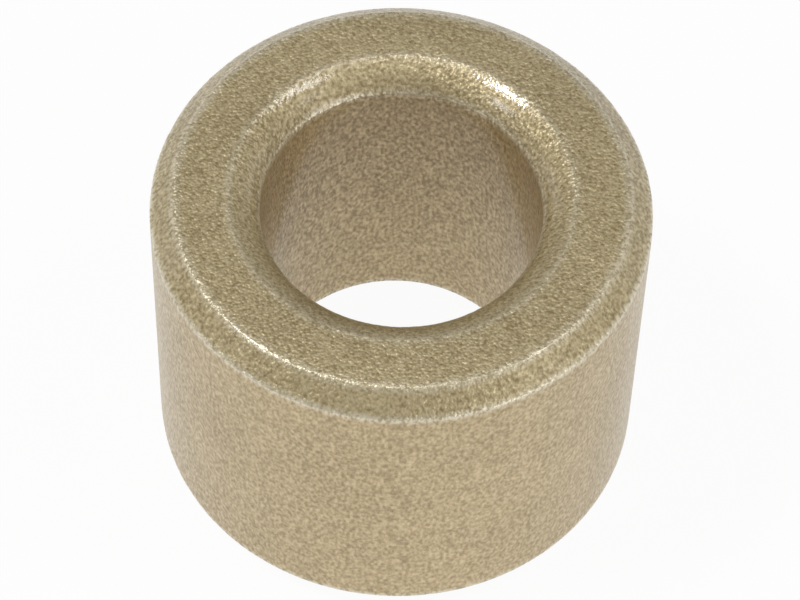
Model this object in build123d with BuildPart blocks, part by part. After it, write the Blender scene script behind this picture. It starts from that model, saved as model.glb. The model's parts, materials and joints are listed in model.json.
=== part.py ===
"""Plain sleeve bushing, pressed and sintered from bronze powder and soaked with oil.

One solid: the section of its wall is drawn once and revolved about Z, the axis of the bore.
The bushing stands on one end, with the origin at the centre of its lower face.
"""

import os

from build123d import *

# Driving dimensions, in millimetres.
bore_diameter = 9.0
outside_diameter = 16.0
bushing_length = 12.5

# The punches press a 45 degree chamfer on both outer rims, and a wider, crowned lead-in on both
# mouths of the bore, so that the bushing starts straight in its housing and the shaft in the bore.
# The crown is how far the lead-in stands out from a straight cone at its middle.
rim_chamfer = 0.75
lead_in_width = 1.0
lead_in_depth = 0.8
lead_in_crown = 0.10

# Tumbling and sizing leave every edge of the section slightly round.
bore_edge_radius = 0.12
lead_in_face_radius = 0.25
rim_face_radius = 0.20
rim_wall_radius = 0.10

bore_radius = bore_diameter / 2
outer_radius = outside_diameter / 2
half_length = bushing_length / 2

# The upper half of the wall section, from the middle of the bore, over the end face, to the middle
# of the outside. Each point is its distance from the axis and its height above mid-length.
bore_middle = (bore_radius, 0)
bore_edge = (bore_radius, half_length - lead_in_depth)
lead_in_edge = (bore_radius + lead_in_width, half_length)
face_edge = (outer_radius - rim_chamfer, half_length)
wall_edge = (outer_radius, half_length - rim_chamfer)
wall_middle = (outer_radius, 0)

# Distance from the axis, height above or below mid-length, and rounding of each corner.
rounded_corners = [
    (*bore_edge, bore_edge_radius),
    (*lead_in_edge, lead_in_face_radius),
    (*face_edge, rim_face_radius),
    (*wall_edge, rim_wall_radius),
]

with BuildPart() as bushing:
    with BuildSketch(Plane.XZ.shift_origin((0, 0, half_length))) as wall_section:
        with BuildLine() as outline:
            Line(bore_middle, bore_edge)
            SagittaArc(bore_edge, lead_in_edge, lead_in_crown)
            Polyline(lead_in_edge, face_edge, wall_edge, wall_middle)
            # The lower end is pressed to the same form as the upper one.
            mirror(about=Plane.XZ)
        make_face()
        for distance, height, rounding in rounded_corners:
            corner_pair = [
                vertex
                for vertex in vertices()
                if abs(vertex.X - distance) < 0.001 and abs(abs(vertex.Y) - height) < 0.001
            ]
            fillet(corner_pair, radius=rounding)
    revolve(axis=Axis.Z)

bushing.part.label = "bushing"

os.makedirs("parts", exist_ok=True)
export_step(bushing.part, "parts/bushing.step")
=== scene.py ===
"""Looks of a plain sleeve bushing of sintered bronze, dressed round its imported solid.

The sleeve comes first, then the floor that it stands on, the studio light and the camera.
Every length is in metres.
"""

import json
import math

import bpy
from mathutils import Matrix, Vector, noise


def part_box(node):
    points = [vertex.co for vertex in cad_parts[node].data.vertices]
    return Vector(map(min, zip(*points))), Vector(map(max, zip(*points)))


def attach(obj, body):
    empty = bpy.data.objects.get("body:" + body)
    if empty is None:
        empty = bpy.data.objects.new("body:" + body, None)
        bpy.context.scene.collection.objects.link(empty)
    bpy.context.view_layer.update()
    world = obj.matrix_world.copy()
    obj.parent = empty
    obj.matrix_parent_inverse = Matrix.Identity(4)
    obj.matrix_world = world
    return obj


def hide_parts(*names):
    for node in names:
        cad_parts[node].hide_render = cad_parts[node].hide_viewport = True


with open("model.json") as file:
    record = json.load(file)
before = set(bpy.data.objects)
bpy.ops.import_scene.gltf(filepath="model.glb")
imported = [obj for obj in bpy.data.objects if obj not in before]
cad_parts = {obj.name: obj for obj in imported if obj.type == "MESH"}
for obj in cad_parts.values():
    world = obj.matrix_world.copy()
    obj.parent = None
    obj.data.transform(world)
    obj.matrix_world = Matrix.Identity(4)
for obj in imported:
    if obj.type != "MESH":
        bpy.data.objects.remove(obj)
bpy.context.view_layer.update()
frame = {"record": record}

# ---------------------------------------------------------------------------------------------
# The sleeve: tin bronze powder, pressed between two punches, sintered and sized, all in one
# piece and soaked with oil. It is the whole bushing, and it stands freely on its lower end.
# ---------------------------------------------------------------------------------------------
mm = 0.001

lowest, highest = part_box("bushing")
mounts = {mount["name"]: mount for mount in frame["record"]["mounts"]}
outer_radius = (highest.x - lowest.x) / 2
bore_radius = mounts["shaft_bore"]["dims"]["r_mm"] * mm

rim_chamfer = 0.75 * mm
lead_in_width = 1.0 * mm
lead_in_depth = 0.8 * mm
lead_in_crown = 0.10 * mm

bore_edge_radius = 0.12 * mm
lead_in_face_radius = 0.25 * mm
rim_face_radius = 0.20 * mm
rim_wall_radius = 0.10 * mm

# Each corner of the wall's section: distance from the axis, depth under the end face, the
# rounding of the corner, how many facets the rounding takes, and how far the corner is rubbed
# and painted with a pale highlight.
end_corners = [
    (bore_radius, lead_in_depth, bore_edge_radius, 4, 1.0),
    (bore_radius + lead_in_width, 0.0, lead_in_face_radius, 6, 0.4),
    (outer_radius - rim_chamfer, 0.0, rim_face_radius, 5, 0.6),
    (outer_radius, rim_chamfer, rim_wall_radius, 4, 1.0),
]
upper_corners = [(r, highest.z - depth, *others) for r, depth, *others in end_corners]
lower_corners = [(r, lowest.z + depth, *others) for r, depth, *others in end_corners]
section_corners = upper_corners + lower_corners[::-1]
corner_total = len(section_corners)

# Facets along the run that leaves each of those corners, and how far the run stands out from a
# straight line at its middle: lead-in, end face, chamfer, outside wall, and the same in the other
# order down to the bore wall.
run_facets = [7, 8, 7, 22, 7, 8, 7, 22]
run_crowns = [lead_in_crown, 0, 0, 0, 0, 0, lead_in_crown, 0]
outside_wall_run = 3
bore_wall_run = 7

# Round the sleeve, each facet is less than half as wide as a grain of the edge relief.
round_facets = 780


def rounded_corner(before, corner, after, curve, facet_total):
    """Points of the arc that rounds one corner, from the run before it to the run after it."""
    towards_before = (before - corner).normalized()
    towards_after = (after - corner).normalized()
    half_angle = towards_before.angle(towards_after) / 2
    setback = curve / math.tan(half_angle)
    middle = (towards_before + towards_after).normalized()
    centre = corner + middle * (curve / math.sin(half_angle))
    first = corner + towards_before * setback - centre
    last = corner + towards_after * setback - centre
    turn = first.angle(last)
    points = []
    for k in range(facet_total + 1):
        share = k / facet_total
        blend = first * math.sin((1 - share) * turn) + last * math.sin(share * turn)
        points.append(centre + blend / math.sin(turn))
    return points


corner_points = [Vector((r, z)) for r, z, curve, facet_total, wear_and_highlight in section_corners]

# Each run bends towards a point beside its middle, twice as far out as its crown.
bends = []
for i, crown in enumerate(run_crowns):
    run = corner_points[(i + 1) % corner_total] - corner_points[i]
    outward = Vector((-run.y, run.x)).normalized()
    bends.append(corner_points[i] + run / 2 + outward * (2 * crown))

arcs = []
for i, (r, z, curve, facet_total, wear_and_highlight) in enumerate(section_corners):
    arcs.append(rounded_corner(bends[i - 1], corner_points[i], bends[i], curve, facet_total))

# The rows of the section, how far along it each row is from the nearest rounded corner, how far
# that corner is rubbed and painted with a pale highlight, and whether the punches pressed the row
# (1) or the sizing tools drew it out as a wall (0). Rows crowd towards both ends of a run, so that
# it shades evenly up to the edge.
section = []
edge_distance = []
edge_wear_and_highlight = []
row_pressed = []
for i, arc in enumerate(arcs):
    following = (i + 1) % corner_total
    section.extend(arc)
    edge_distance.extend([0.0] * len(arc))
    edge_wear_and_highlight.extend([section_corners[i][-1]] * len(arc))
    row_pressed.extend([1.0] * len(arc))
    start = arc[-1]
    end = arcs[following][0]
    run_length = (end - start).length
    for k in range(1, run_facets[i]):
        share = (1 - math.cos(math.pi * k / run_facets[i])) / 2
        nearest = i if share < 0.5 else following
        section.append(start.lerp(bends[i], share).lerp(bends[i].lerp(end, share), share))
        edge_distance.append(min(share, 1 - share) * run_length)
        edge_wear_and_highlight.append(section_corners[nearest][-1])
        row_pressed.append(0.0 if i in (outside_wall_run, bore_wall_run) else 1.0)
row_total = len(section)

# Grains stand out or are missing along the edges, where nothing backs them. The relief is cut
# inwards, so that the sleeve keeps its size, and it fades out on the flat of each surface.
grain_width = 0.16 * mm
grain_relief = 0.012 * mm
nick_width = 0.55 * mm
nick_depth = 0.022 * mm
nick_threshold = 0.25
relief_reach = 0.22 * mm
least_fade = 0.01

vertices = []
for i, point in enumerate(section):
    along = section[(i + 1) % row_total] - section[i - 1]
    outward = Vector((-along.y, along.x)).normalized()
    fade = math.exp(-((edge_distance[i] / relief_reach) ** 2))
    for k in range(round_facets):
        angle = 2 * math.pi * k / round_facets
        radial = Vector((math.cos(angle), math.sin(angle), 0))
        spot = radial * point.x + Vector((0, 0, point.y))
        if fade > least_fade:
            grain_share = 0.5 + 0.5 * noise.noise(spot / grain_width)
            nick_share = max(0.0, noise.noise(spot / nick_width) - nick_threshold)
            cut = fade * (grain_relief * grain_share + nick_depth * nick_share)
            spot -= (radial * outward.x + Vector((0, 0, outward.y))) * cut
        vertices.append(spot)

faces = []
for i in range(row_total):
    row = i * round_facets
    row_below = (i + 1) % row_total * round_facets
    for k in range(round_facets):
        beside = (k + 1) % round_facets
        faces.append((row + k, row_below + k, row_below + beside, row + beside))

sleeve_mesh = bpy.data.meshes.new("sintered_sleeve")
sleeve_mesh.from_pydata(vertices, [], faces)
sleeve_mesh.validate()
sleeve_mesh.shade_smooth()

# The finish reads two values from the mesh: how far an edge nearby is rubbed and painted with a
# pale highlight, and where the punches pressed.
rubbed_and_highlight_reach = 0.07 * mm
row_rubbed_and_highlight = []
for distance, wear_and_highlight in zip(edge_distance, edge_wear_and_highlight):
    row_rubbed_and_highlight.append(wear_and_highlight * math.exp(-((distance / rubbed_and_highlight_reach) ** 2)))
for name, row_values in (("edge_rubbed_and_highlight", row_rubbed_and_highlight), ("pressed", row_pressed)):
    values = sleeve_mesh.attributes.new(name, "FLOAT", "POINT")
    values.data.foreach_set("value", [value for value in row_values for k in range(round_facets)])

sleeve = bpy.data.objects.new("sintered_sleeve", sleeve_mesh)
bpy.context.collection.objects.link(sleeve)


def linear(hex_colour):
    """A colour written as sRGB hex, as the linear red, green, blue and alpha that Blender takes."""
    channels = [int(hex_colour[i : i + 2], 16) / 255 for i in (1, 3, 5)]
    return [c / 12.92 if c <= 0.04045 else ((c + 0.055) / 1.055) ** 2.4 for c in channels] + [1]


def add_node(tree, kind, settings, links):
    """Adds a node, sets its attributes or inputs by name, and links its inputs to outputs."""
    node = tree.nodes.new(kind)
    for name, value in settings.items():
        if isinstance(name, str) and hasattr(node, name):
            setattr(node, name, value)
        else:
            node.inputs[name].default_value = value
    for name, output in links.items():
        tree.links.new(output, node.inputs[name])
    return node


# Sintered tin bronze, sized and soaked with oil: pressed grains about 0.1 mm across, each lying
# at its own slight tilt with open pores between, give a fine speckle and a soft, dull gleam.
bronze = bpy.data.materials.new("oil_soaked_sintered_bronze")
bronze.use_nodes = True
tree = bronze.node_tree
tree.nodes.clear()

grain_size = 0.115 * mm
facet_size = 0.10 * mm
mottle_size = 3.0 * mm
relief_height = 0.03 * mm

grain_drag = 0.65
mottle_share = 0.25
mean_grain = 0.5 + mottle_share / 2
middle_tone = 0.42
rubbed_roughness = 0.34

# The walls are coloured lighter than the pressed faces: partly their sized finish, partly painted
# light for the bright floor that they face.
wall_dark_painted_lit = linear("#A08A5F")
wall_light_painted_lit = linear("#E7D2A6")
pressed_dark = linear("#94825A")
pressed_light = linear("#E4D3A8")
# A pale, nearly white colour painted along the edges as a highlight line.
edge_highlight_painted_pale = linear("#F0E6CC")

# Sizing drags the grain out a little along the walls.
place = add_node(tree, "ShaderNodeTexCoord", {}, {})
dragged = add_node(
    tree,
    "ShaderNodeVectorMath",
    {"operation": "MULTIPLY", 1: (1, 1, grain_drag)},
    {0: place.outputs["Object"]},
)
grain = add_node(
    tree,
    "ShaderNodeTexNoise",
    {"Scale": 1 / grain_size, "Detail": 1.0, "Roughness": 0.5},
    {"Vector": dragged.outputs[0]},
)
grain_facets = add_node(
    tree,
    "ShaderNodeTexVoronoi",
    {"Scale": 1 / facet_size, "Randomness": 1.0},
    {"Vector": dragged.outputs[0]},
)
mottle = add_node(
    tree,
    "ShaderNodeTexNoise",
    {"Scale": 1 / mottle_size, "Detail": 3.0, "Roughness": 0.6},
    {"Vector": place.outputs["Object"]},
)

# The tone: fine grain on a faint, wide mottle. The pressed faces keep their raised grain, and so
# more contrast. Sizing has levelled it on the walls.
mottled_grain = add_node(
    tree,
    "ShaderNodeMath",
    {"operation": "MULTIPLY_ADD", 1: mottle_share},
    {0: mottle.outputs["Fac"], 2: grain.outputs["Fac"]},
)
centred_grain = add_node(
    tree,
    "ShaderNodeMath",
    {"operation": "SUBTRACT", 1: mean_grain},
    {0: mottled_grain.outputs[0]},
)
pressed = add_node(tree, "ShaderNodeAttribute", {"attribute_name": "pressed"}, {})
tone_contrast = add_node(
    tree,
    "ShaderNodeMapRange",
    {"To Min": 1.3, "To Max": 1.7},
    {"Value": pressed.outputs["Fac"]},
)
grain_tone = add_node(
    tree,
    "ShaderNodeMath",
    {"operation": "MULTIPLY_ADD", "use_clamp": True, 2: middle_tone},
    {0: centred_grain.outputs[0], 1: tone_contrast.outputs["Result"]},
)
wall_tone_painted_lit = add_node(
    tree,
    "ShaderNodeMix",
    {"data_type": "RGBA", 6: wall_dark_painted_lit, 7: wall_light_painted_lit},
    {0: grain_tone.outputs[0]},
)
pressed_tone = add_node(
    tree,
    "ShaderNodeMix",
    {"data_type": "RGBA", 6: pressed_dark, 7: pressed_light},
    {0: grain_tone.outputs[0]},
)
# The walls take their lighter tone, partly painted light, and the pressed faces take their own.
bronze_tone = add_node(
    tree,
    "ShaderNodeMix",
    {"data_type": "RGBA"},
    {0: pressed.outputs["Fac"], 6: wall_tone_painted_lit.outputs[2], 7: pressed_tone.outputs[2]},
)

# Edges are rubbed smooth by the tools and by handling, in broken stretches. Their pale colour
# is a painted highlight, a light line drawn along the edges.
edge_rubbed_and_highlight = add_node(tree, "ShaderNodeAttribute", {"attribute_name": "edge_rubbed_and_highlight"}, {})
rubbed_and_highlight_grain = add_node(
    tree,
    "ShaderNodeMapRange",
    {"From Min": 0.36, "From Max": 0.56, "To Min": 0.30, "To Max": 0.90},
    {"Value": grain.outputs["Fac"]},
)
rubbed_and_painted_highlight = add_node(
    tree,
    "ShaderNodeMath",
    {"operation": "MULTIPLY"},
    {0: edge_rubbed_and_highlight.outputs["Fac"], 1: rubbed_and_highlight_grain.outputs["Result"]},
)
# The painted highlight: the pale colour mixed in along the rubbed edges.
colour = add_node(
    tree,
    "ShaderNodeMix",
    {"data_type": "RGBA", 7: edge_highlight_painted_pale},
    {0: rubbed_and_painted_highlight.outputs[0], 6: bronze_tone.outputs[2]},
)

# The tops of the grains are burnished a little smoother than the hollows between them.
grain_roughness = add_node(
    tree,
    "ShaderNodeMapRange",
    {"From Min": 0.35, "From Max": 0.68, "To Min": 0.60, "To Max": 0.40},
    {"Value": grain.outputs["Fac"]},
)
roughness = add_node(
    tree,
    "ShaderNodeMix",
    {3: rubbed_roughness},
    {0: rubbed_and_painted_highlight.outputs[0], 2: grain_roughness.outputs["Result"]},
)

# Bare bronze mirrors, and the open pores between its grains don't. Fewer are open on the walls.
metallic = add_node(
    tree,
    "ShaderNodeMapRange",
    {"To Min": 0.85, "To Max": 0.5},
    {"Value": pressed.outputs["Fac"]},
)

# Each grain stands up in its middle, more so on the pressed faces.
relief = add_node(
    tree,
    "ShaderNodeMath",
    {"operation": "SUBTRACT"},
    {0: grain.outputs["Fac"], 1: grain_facets.outputs["Distance"]},
)
relief_strength = add_node(
    tree,
    "ShaderNodeMapRange",
    {"To Min": 0.30, "To Max": 0.75},
    {"Value": pressed.outputs["Fac"]},
)
bump = add_node(
    tree,
    "ShaderNodeBump",
    {"Distance": relief_height},
    {"Strength": relief_strength.outputs["Result"], "Height": relief.outputs[0]},
)

# The oil lies smoother than the grain under it, in a film that covers it only in part. Its index
# is set above the 1.5 of oil, because the film gleams over facets that are burnished themselves.
film = add_node(
    tree,
    "ShaderNodeBump",
    {"Strength": 0.12, "Distance": relief_height},
    {"Height": relief.outputs[0]},
)
surface = add_node(
    tree,
    "ShaderNodeBsdfPrincipled",
    {"Coat Weight": 0.45, "Coat Roughness": 0.13, "Coat IOR": 1.8},
    {
        "Base Color": colour.outputs[2],
        "Metallic": metallic.outputs["Result"],
        "Roughness": roughness.outputs[0],
        "Normal": bump.outputs["Normal"],
        "Coat Normal": film.outputs["Normal"],
    },
)
add_node(tree, "ShaderNodeOutputMaterial", {}, {"Surface": surface.outputs["BSDF"]})
sleeve_mesh.materials.append(bronze)

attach(sleeve, "root")
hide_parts("bushing")

# ---------------------------------------------------------------------------------------------
# The floor: a wide sheet of matt white paper under the sleeve, which carries its soft shadow.
# ---------------------------------------------------------------------------------------------
floor_half_width = 0.5
floor_white_seen = 0.95
floor_white_mirrored = 0.75

floor_mesh = bpy.data.meshes.new("paper_floor")
floor_mesh.from_pydata(
    [
        (-floor_half_width, -floor_half_width, lowest.z),
        (floor_half_width, -floor_half_width, lowest.z),
        (floor_half_width, floor_half_width, lowest.z),
        (-floor_half_width, floor_half_width, lowest.z),
    ],
    [],
    [(0, 1, 2, 3)],
)
floor = bpy.data.objects.new("paper_floor", floor_mesh)
bpy.context.collection.objects.link(floor)

# Matt white paper. It is seen, and mirrored in the metal, mostly as plain white, so that the
# shadow on it stays faint.
paper = bpy.data.materials.new("matt_white_paper")
paper.use_nodes = True
tree = paper.node_tree
tree.nodes.clear()
ray = add_node(tree, "ShaderNodeLightPath", {}, {})
seen_white = add_node(
    tree,
    "ShaderNodeMath",
    {"operation": "MULTIPLY", 1: floor_white_seen},
    {0: ray.outputs["Is Camera Ray"]},
)
plain_share = add_node(
    tree,
    "ShaderNodeMath",
    {"operation": "MULTIPLY_ADD", 1: floor_white_mirrored},
    {0: ray.outputs["Is Glossy Ray"], 2: seen_white.outputs[0]},
)
matt = add_node(tree, "ShaderNodeBsdfDiffuse", {"Color": linear("#F4F4F4")}, {})
plain_white = add_node(
    tree,
    "ShaderNodeEmission",
    {"Color": linear("#FFFFFF"), "Strength": 1.0},
    {},
)
paper_surface = add_node(
    tree,
    "ShaderNodeMixShader",
    {},
    {0: plain_share.outputs[0], 1: matt.outputs[0], 2: plain_white.outputs[0]},
)
add_node(tree, "ShaderNodeOutputMaterial", {}, {"Surface": paper_surface.outputs[0]})
floor_mesh.materials.append(paper)

# ---------------------------------------------------------------------------------------------
# The light: a grey room that is seen as white, low soft boxes round the sleeve for its walls, and
# strips and small boxes above it, brighter on the left, that draw the gleam along its edges.
# ---------------------------------------------------------------------------------------------
room_white_mirrored = 0.18

world = bpy.data.worlds.new("pale_studio")
bpy.context.scene.world = world
world.use_nodes = True
tree = world.node_tree
tree.nodes.clear()
ray = add_node(tree, "ShaderNodeLightPath", {}, {})
room_white = add_node(
    tree,
    "ShaderNodeMath",
    {"operation": "MULTIPLY_ADD", 1: room_white_mirrored},
    {0: ray.outputs["Is Glossy Ray"], 2: ray.outputs["Is Camera Ray"]},
)
room_tone = add_node(
    tree,
    "ShaderNodeMix",
    {"data_type": "RGBA", 6: linear("#565656"), 7: linear("#FFFFFF")},
    {0: room_white.outputs[0]},
)
room = add_node(
    tree,
    "ShaderNodeBackground",
    {"Strength": 1.0},
    {"Color": room_tone.outputs[2]},
)
add_node(tree, "ShaderNodeOutputWorld", {}, {"Surface": room.outputs[0]})

# Each soft box: its name, azimuth in degrees from the front towards the right, elevation in
# degrees, width, height, and its radiance next to that of white paper.
soft_boxes = [
    ("left_soft_box", -88, 30, 0.36, 0.16, 0.1),
    ("left_low_box", -114, 12, 0.20, 0.12, 0.9),
    ("left_strip_box", -86, 63, 0.08, 0.05, 38.0),
    ("left_spot_box", -66, 40, 0.06, 0.06, 9.0),
    ("left_top_box", -40, 78, 0.06, 0.06, 1.5),
    ("right_soft_box", 84, 30, 0.36, 0.16, 0.3),
    ("right_low_box", 114, 12, 0.20, 0.12, 0.6),
    ("right_strip_box", 88, 62, 0.12, 0.05, 11.0),
    ("right_spot_box", 66, 42, 0.06, 0.06, 3.0),
    ("right_top_box", 45, 78, 0.06, 0.06, 1.0),
    ("front_soft_box", 46, 12, 0.24, 0.11, 3.0),
    ("back_soft_box", 180, 12, 0.30, 0.16, 0.1),
]
soft_box_distance = 0.35
sleeve_middle = (lowest + highest) / 2
for name, azimuth, elevation, width, height, radiance in soft_boxes:
    lamp = bpy.data.lights.new(name, "AREA")
    lamp.shape = "RECTANGLE"
    lamp.size = width
    lamp.size_y = height
    lamp.energy = radiance * math.pi * width * height
    level = math.cos(math.radians(elevation))
    direction = Vector(
        (
            level * math.sin(math.radians(azimuth)),
            -level * math.cos(math.radians(azimuth)),
            math.sin(math.radians(elevation)),
        )
    )
    box = bpy.data.objects.new(name, lamp)
    box.location = sleeve_middle + direction * soft_box_distance
    box.rotation_euler = direction.to_track_quat("Z", "Y").to_euler()
    bpy.context.collection.objects.link(box)

# ---------------------------------------------------------------------------------------------
# The camera: a long lens that looks down on the sleeve, rolled slightly to one side.
# ---------------------------------------------------------------------------------------------
camera_elevation = math.radians(56.52)
camera_roll = math.radians(1.885)
camera_distance = 130.30 * mm
aim_up = 3.526 * mm
aim_right = 0.163 * mm

level_right = Vector((1, 0, 0))
level_up = Vector((0, math.sin(camera_elevation), math.cos(camera_elevation)))
back = Vector((0, -math.cos(camera_elevation), math.sin(camera_elevation)))
view_right = level_right * math.cos(camera_roll) + level_up * math.sin(camera_roll)
view_up = level_up * math.cos(camera_roll) - level_right * math.sin(camera_roll)
camera_place = view_right * aim_right + view_up * aim_up + back * camera_distance
camera_turn = Matrix((view_right, view_up, back)).transposed()

lens = bpy.data.cameras.new("camera")
lens.sensor_width = 36.0
lens.lens = 170.75
lens.clip_start = 0.01
lens.clip_end = 10.0
camera = bpy.data.objects.new("camera", lens)
camera.matrix_world = Matrix.Translation(camera_place) @ camera_turn.to_4x4()
bpy.context.collection.objects.link(camera)
bpy.context.scene.camera = camera

bpy.context.scene.view_settings.view_transform = "Standard"
